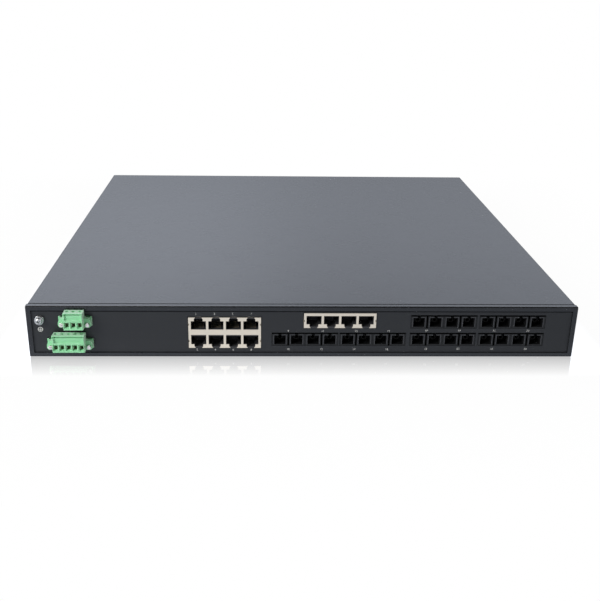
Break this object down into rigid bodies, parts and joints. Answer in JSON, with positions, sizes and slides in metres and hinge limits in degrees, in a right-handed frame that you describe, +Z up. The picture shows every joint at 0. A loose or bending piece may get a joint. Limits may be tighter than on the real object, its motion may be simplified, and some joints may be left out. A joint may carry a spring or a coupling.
{
  "type": "rack mount ethernet switch",
  "caption": "Rack mount ethernet switch: low folded steel case, shielded copper ports, duplex fibre ports, and pluggable power and alarm terminals",
  "frame": {"origin": "centre of the underside of the case", "axes": "+X to the right as seen from the front, +Y to the back, +Z up"},
  "size_m": [0.44, 0.4504, 0.044],
  "materials": {
    "case_paint": "satin",
    "panel_paint": "matte",
    "tinned_shield": "satin",
    "black_plastic": "matte",
    "green_plastic": "satin",
    "plated_steel": "satin",
    "brass_screws": "satin",
    "gold_contacts": "gloss",
    "circuit_board": "satin",
    "chip_plastic": "matte",
    "sink_aluminium": "satin",
    "ferrite": "matte",
    "white_print": "matte"
  },
  "bodies": {
    "root": {"chassis_base": "case_paint", "top_cover": "case_paint", "front_panel": "panel_paint", "cover_side_screws": "plated_steel", "cover_rear_screws": "plated_steel", "ear_nuts": "plated_steel", "earth_flat_washer": "plated_steel", "earth_spring_washer": "plated_steel", "earth_screw": "plated_steel", "earth_nut": "plated_steel", "jack_2x4_shield": "tinned_shield", "jack_2x4_housing": "black_plastic", "jack_2x4_contacts": "gold_contacts", "jack_1x4_shield": "tinned_shield", "jack_1x4_housing": "black_plastic", "jack_1x4_contacts": "gold_contacts", "optical_sleeves": "brass_screws", "main_board": "circuit_board", "mezzanine_board": "circuit_board", "psu_board": "circuit_board", "terminal_board": "circuit_board", "board_standoffs": "plated_steel", "mezzanine_spacers": "plated_steel", "board_screws": "plated_steel", "switch_chip": "chip_plastic", "switch_heat_sink": "sink_aluminium", "phy_chips": "chip_plastic", "port_magnetics": "chip_plastic", "capacitors": "sink_aluminium", "mezzanine_connector": "black_plastic", "board_link_connectors": "black_plastic", "psu_transformer": "ferrite", "psu_choke": "ferrite", "psu_heat_sink": "sink_aluminium", "fibre_transceiver_10": "black_plastic", "fibre_transceiver_12": "black_plastic", "fibre_transceiver_14": "black_plastic", "fibre_transceiver_16": "black_plastic", "fibre_transceiver_17": "black_plastic", "fibre_transceiver_18": "black_plastic", "fibre_transceiver_19": "black_plastic", "fibre_transceiver_20": "black_plastic", "fibre_transceiver_21": "black_plastic", "fibre_transceiver_22": "black_plastic", "fibre_transceiver_23": "black_plastic", "fibre_transceiver_24": "black_plastic", "power_plug": "green_plastic", "power_header": "green_plastic", "power_clamp_cages": "brass_screws", "power_clamp_screws": "brass_screws", "power_flange_screws": "plated_steel", "power_header_pins": "brass_screws", "alarm_plug": "green_plastic", "alarm_header": "green_plastic", "alarm_clamp_cages": "brass_screws", "alarm_clamp_screws": "brass_screws", "alarm_flange_screws": "plated_steel", "alarm_header_pins": "brass_screws"}
  },
  "joints": []
}
